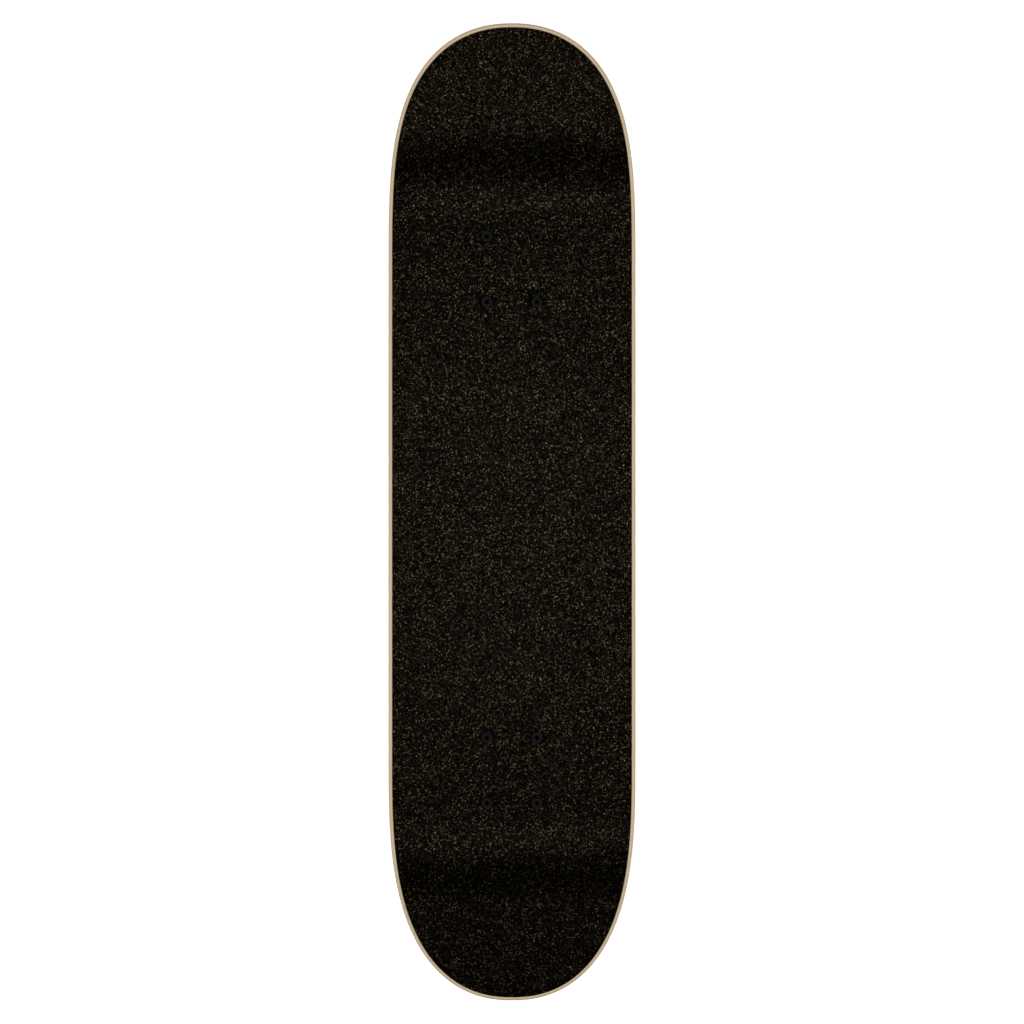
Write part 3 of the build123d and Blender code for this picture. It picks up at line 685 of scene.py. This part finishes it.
for name in nodes:
    kinds = [kind for kind in FINISH_OF if name.endswith("_" + kind)]
    if kinds:
        measured[name] = FINISH_OF[max(kinds, key=len)]
for name, finish in measured.items():
    if not nodes[name].material_slots:
        nodes[name].data.materials.append(finish)
    for slot in nodes[name].material_slots:
        slot.material = finish
print("dressed", len(measured), "measured pieces")

# %% [markdown]
# Turned and poured pieces
# ------------------------
# Wheels are poured in a mould and then trued on a lathe, and bushings are poured too. Both are round, so one
# small lathe makes them from a closed outline of radius and height.

# %% A lathe
TURNED_SHARP = radians(38)  # faces that meet at more than this keep a sharp edge


def lathe(name, outline, centre, axis, segments):
    """A ring-shaped mesh from a closed outline of (radius, height) in mm, its height along axis, in metres."""
    axis = np.array(axis, float) / np.linalg.norm(axis)
    side = np.cross(axis, (0.0, 1.0, 0.0) if abs(axis[1]) < 0.9 else (1.0, 0.0, 0.0))
    side /= np.linalg.norm(side)
    other = np.cross(axis, side)
    points, faces, count = [], [], len(outline)
    for i in range(segments):
        turn = 2 * pi * i / segments
        out = side * cos(turn) + other * sin(turn)
        points += [np.array(centre) + (out * r + axis * h) * MM for r, h in outline]
    for i in range(segments):
        here, following = i * count, (i + 1) % segments * count
        for j in range(count):
            k = (j + 1) % count
            faces.append((here + j, following + j, following + k, here + k))
    mesh = bpy.data.meshes.new(name)
    mesh.from_pydata(points, [], faces)
    area = sum(r0 * h1 - r1 * h0 for (r0, h0), (r1, h1) in zip(outline, outline[1:] + outline[:1]))
    if area < 0:
        mesh.flip_normals()
    mesh.shade_smooth()
    mesh.set_sharp_from_angle(angle=TURNED_SHARP)
    return new_object(name, mesh)


def corner(a, b, c, radius, steps=4):
    """Rounds the corner at b of the path a, b, c."""
    a, b, c = (np.array(p, float) for p in (a, b, c))
    back, on = (a - b) / np.linalg.norm(a - b), (c - b) / np.linalg.norm(c - b)
    start, finish = b + back * radius, b + on * radius
    shares = np.linspace(0, 1, steps + 1)
    return [tuple((1 - t) ** 2 * start + 2 * t * (1 - t) * b + t**2 * finish) for t in shares]


def rounded(points, radii):
    """A closed outline with each corner rounded by its own radius, or left sharp at 0."""
    outline = []
    for i, (point, radius) in enumerate(zip(points, radii)):
        before, after = points[i - 1], points[(i + 1) % len(points)]
        outline += corner(before, point, after, radius) if radius else [tuple(point)]
    return outline


# %% [markdown]
# Wheels
# ------
# A street wheel is 52 mm across and 32 mm wide. Its tread is a flat band, its shoulders are full so that it
# slides over a kerb's edge, and each side has a seat that a bearing is pressed into. The side's lip is
# left thick round the bearing. Those curves are the wheel's outline, and the lathe does the rest.

# %% Wheels
AXLE_PAST_TRUCK = 5.0 * MM  # how far each axle lies outside the middle of its truck's bolts
AXLE_X = {"front": TRUCK_X["front"] + AXLE_PAST_TRUCK, "rear": TRUCK_X["rear"] - AXLE_PAST_TRUCK}
HUB_Y, HUB_Z = 77.5 * MM, 26.0 * MM
WHEEL_SEGMENTS = 144
SHOULDER = [(26.0, 9.2), (25.88, 11.2), (25.2, 13.0), (23.8, 14.4), (21.8, 15.3), (19.6, 15.8), (17.6, 16.0)]
LIP = [(15.6, 16.0), (15.0, 15.75), (14.4, 15.3), (12.6, 12.95), (11.9, 12.3)]
SEAT = [(11.05, 12.08), (11.02, 11.9), (11.02, 5.0)]
half_outline = [(9.3, 0.0), (9.3, 5.0)] + (LIP + SEAT)[::-1] + SHOULDER[::-1] + [(26.0, 4.6), (26.0, 0.0)]
wheel_outline = half_outline + [(r, -h) for r, h in half_outline[-2:0:-1]]
for truck in ("front", "rear"):
    for side, sign in (("left", 1), ("right", -1)):
        hub = (AXLE_X[truck], sign * HUB_Y, HUB_Z)
        wheel = lathe(f"{truck}_{side}_tyre", wheel_outline, hub, (0, sign, 0), WHEEL_SEGMENTS)
        wheel.data.materials.append(plastics["poured_white_urethane"])
        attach(wheel, f"{truck}_{side}_wheel")
        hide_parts(f"{truck}_{side}_wheel")
print("a wheel has", len(wheel.data.polygons), "faces")

# %% [markdown]
# Bushings
# --------
# Two urethane bushings squeeze the hanger's ring: a barrel between it and the baseplate, and a cone under the
# kingpin nut. They are the truck's springs. When the board leans, one side of each is squashed; here each is
# turned once, round its kingpin, and stays straight.

# %% Bushings
UNDERSIDE = DECK_TOP - THICKNESS
PIN_LEAN = radians(22.0)
RING_INSIDE, RING_BELOW = 13.0 * MM, 34.0 * MM  # the ring's middle, from the bolts' middle and the underside
PIN = {}
for truck, facing in (("front", 1), ("rear", -1)):
    ring_middle = np.array([TRUCK_X[truck] - facing * RING_INSIDE, 0, UNDERSIDE - RING_BELOW])
    down_pin = np.array([-facing * sin(PIN_LEAN), 0, -cos(PIN_LEAN)])
    PIN[truck] = (ring_middle, down_pin)
BUSHINGS = {
    # height at the washer and at the ring, then the outline's corners from washer to ring, each with its rounding
    "bottom_bushing": (
        (-19.0, -3.8),
        {(5.0, -19.0): 0.5, (12.2, -19.0): 1.3, (12.25, -11.4): 0, (12.2, -3.8): 1.3, (5.0, -3.8): 0.5},
    ),
    "top_bushing": (
        (16.5, 3.8),
        {(5.0, 16.5): 0.5, (8.6, 16.5): 1.0, (11.95, 5.2): 1.2, (11.95, 3.8): 0.5, (5.0, 3.8): 0.5},
    ),
}
LONGEST_STEP = 1.2  # the longest side left in a bushing's outline, in mm
BUSHING_SEGMENTS = 72


def divided(outline):
    """A closed outline with points added along its longer sides."""
    dense = []
    for (r0, h0), (r1, h1) in zip(outline, outline[1:] + outline[:1]):
        steps = max(1, int(np.hypot(r1 - r0, h1 - h0) / LONGEST_STEP))
        dense += [(r0 + (r1 - r0) * i / steps, h0 + (h1 - h0) * i / steps) for i in range(steps)]
    return dense


for truck, (ring_middle, down_pin) in PIN.items():
    for name, ((at_washer, at_ring), corners) in BUSHINGS.items():
        outline = divided(rounded(list(corners), list(corners.values())))
        bushing = lathe(f"{truck}_{name}_rubber", outline, ring_middle, down_pin, BUSHING_SEGMENTS)
        bushing.data.materials.append(plastics["cream_bushing_urethane"])
        start, end = ring_middle + down_pin * at_washer * MM, ring_middle + down_pin * at_ring * MM
        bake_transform(bushing)
        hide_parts(f"{truck}_{name}")
print("a bushing has", len(bushing.data.polygons), "faces")

# %% [markdown]
# Threads and lock rings
# ----------------------
# Every nut on a skateboard is a lock nut: a nylon ring in its collar grips the thread, whose last turns stand
# out of it. Fourteen nuts of three sizes need the same two details, so each detail is one node tree that
# stands a copy on every point of a small cloud, turned to face out along the bolt.

# %% Trees that stand copies on points
def point_cloud(name, places, outs):
    """A mesh of loose points, each with the direction that its copy faces."""
    mesh = bpy.data.meshes.new(name)
    mesh.from_pydata([tuple(p) for p in places], [], [])
    facing = mesh.attributes.new("out", "FLOAT_VECTOR", "POINT")
    facing.data.foreach_set("vector", np.array(outs, np.float32).ravel())
    return new_object(name, mesh)


def stand_copies(tree, given, shape):
    """Ends a tree with a copy of shape on every point, its Z along the point's direction."""
    out = add(tree, "GeometryNodeInputNamedAttribute", {"data_type": "FLOAT_VECTOR"}, {"Name": "out"})
    turn = add(tree, "FunctionNodeAlignRotationToVector", {"axis": "Z"}, {"Vector": out.outputs["Attribute"]})
    stood = {"Points": given.outputs["Geometry"], "Instance": shape, "Rotation": turn.outputs[0]}
    finish_tree(tree, given, add(tree, "GeometryNodeInstanceOnPoints", None, stood).outputs[0])


thread = new_tree(
    "thread_end",
    [
        ("Rod Radius", "NodeSocketFloat", 2.4 * MM),
        ("Pitch", "NodeSocketFloat", 0.8 * MM),
        ("Length", "NodeSocketFloat", 2.0 * MM),
        FINISH,
    ],
)
given = add(thread, "NodeGroupInput")
CREST_OF_PITCH = 0.36  # the radius of the ridge's square section
helix_shape = {
    "Resolution": 28,
    "Rotations": maths(thread, "DIVIDE", given.outputs["Length"], given.outputs["Pitch"]),
    "Start Radius": given.outputs["Rod Radius"],
    "End Radius": given.outputs["Rod Radius"],
    "Height": given.outputs["Length"],
}
helix = add(thread, "GeometryNodeCurveSpiral", None, helix_shape).outputs[0]
crest = maths(thread, "MULTIPLY", given.outputs["Pitch"], CREST_OF_PITCH)
ridge = add(thread, "GeometryNodeCurvePrimitiveCircle", None, {"Resolution": 4, "Radius": crest}).outputs[0]
wound = add(thread, "GeometryNodeCurveToMesh", None, {"Curve": helix, "Profile Curve": ridge, "Fill Caps": True})
stand_copies(thread, given, wound.outputs[0])

lock = new_tree(
    "nylon_lock_ring",
    [
        ("Ring Radius", "NodeSocketFloat", 3.0 * MM),
        ("Ring Width", "NodeSocketFloat", 0.8 * MM),
        ("Ring Height", "NodeSocketFloat", 0.6 * MM),
        FINISH,
    ],
)
given = add(lock, "NodeGroupInput")
round_path = {"Resolution": 40, "Radius": given.outputs["Ring Radius"]}
circle = add(lock, "GeometryNodeCurvePrimitiveCircle", None, round_path).outputs[0]
section_size = {"Width": given.outputs["Ring Width"], "Height": given.outputs["Ring Height"]}
section = add(lock, "GeometryNodeCurvePrimitiveQuadrilateral", None, section_size).outputs[0]
swept = add(lock, "GeometryNodeCurveToMesh", None, {"Curve": circle, "Profile Curve": section})
stand_copies(lock, given, swept.outputs[0])
print("thread tree", len(thread.nodes), "nodes, ring tree", len(lock.nodes), "nodes")

# %% Where the nuts end
BOLT_NUT_BELOW = 11.4 * MM  # the collar's end, from the deck's underside
KINGPIN_NUT_DOWN = 26.6 * MM  # from the ring's middle, along the pin
AXLE_NUT_OUT = 96.3 * MM  # from the board's middle
nut_ends = {"bolt": [], "kingpin": [], "front_axle": [], "rear_axle": []}
for truck, truck_x in TRUCK_X.items():
    for i in (-1, 1):
        for j in (-1, 1):
            place = (truck_x + i * BOLTS_ALONG / 2, j * BOLTS_ACROSS / 2, UNDERSIDE - BOLT_NUT_BELOW)
            nut_ends["bolt"].append((place, (0, 0, -1)))
    ring_middle, down_pin = PIN[truck]
    nut_ends["kingpin"].append((ring_middle + down_pin * KINGPIN_NUT_DOWN, down_pin))
    for sign in (1, -1):
        nut_ends[f"{truck}_axle"].append(((AXLE_X[truck], sign * AXLE_NUT_OUT, HUB_Z), (0, sign, 0)))
NUTS = {
    # body, then rod radius, pitch and thread left over in mm, metal, slot
    "bolt": ("board", 2.4, 0.79, 2.0, "black_oxide_steel", "black_steel"),
    "kingpin": ("board", 4.76, 1.06, 1.5, "zinc_plated_steel", "plated_steel"),
    "front_axle": ("front_truck", 3.96, 1.06, 1.1, "zinc_plated_steel", "plated_steel"),
    "rear_axle": ("rear_truck", 3.96, 1.06, 1.1, "zinc_plated_steel", "plated_steel"),
}
RING_GAP, RING_HEIGHT = 0.05, 0.5  # in mm
RING_WIDTH_OF_ROD = 0.3
THREAD_SHARP = radians(35)
for name, (body, rod, pitch, left_over, metal, metal_slot) in NUTS.items():
    places, outs = zip(*nut_ends[name])
    threads = point_cloud(f"{name}_threads", places, outs)
    thread_size = {"Rod Radius": rod * MM, "Pitch": pitch * MM, "Length": left_over * MM}
    run_tree(threads, thread, {**thread_size, "Finish": metals[metal]})
    rings = point_cloud(f"{name}_lock_rings", places, outs)
    width = rod * RING_WIDTH_OF_ROD
    ring_radius = rod + RING_GAP + width / 2
    ring_size = {"Ring Radius": ring_radius * MM, "Ring Width": width * MM, "Ring Height": RING_HEIGHT * MM}
    run_tree(rings, lock, {**ring_size, "Finish": plastics["natural_nylon"]})
    for piece, slot in ((threads, metal_slot), (rings, "cage_nylon")):
        piece.data.set_sharp_from_angle(angle=THREAD_SHARP)
        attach(piece, body)
    print(name, len(threads.data.polygons), "thread faces", len(rings.data.polygons), "ring faces")
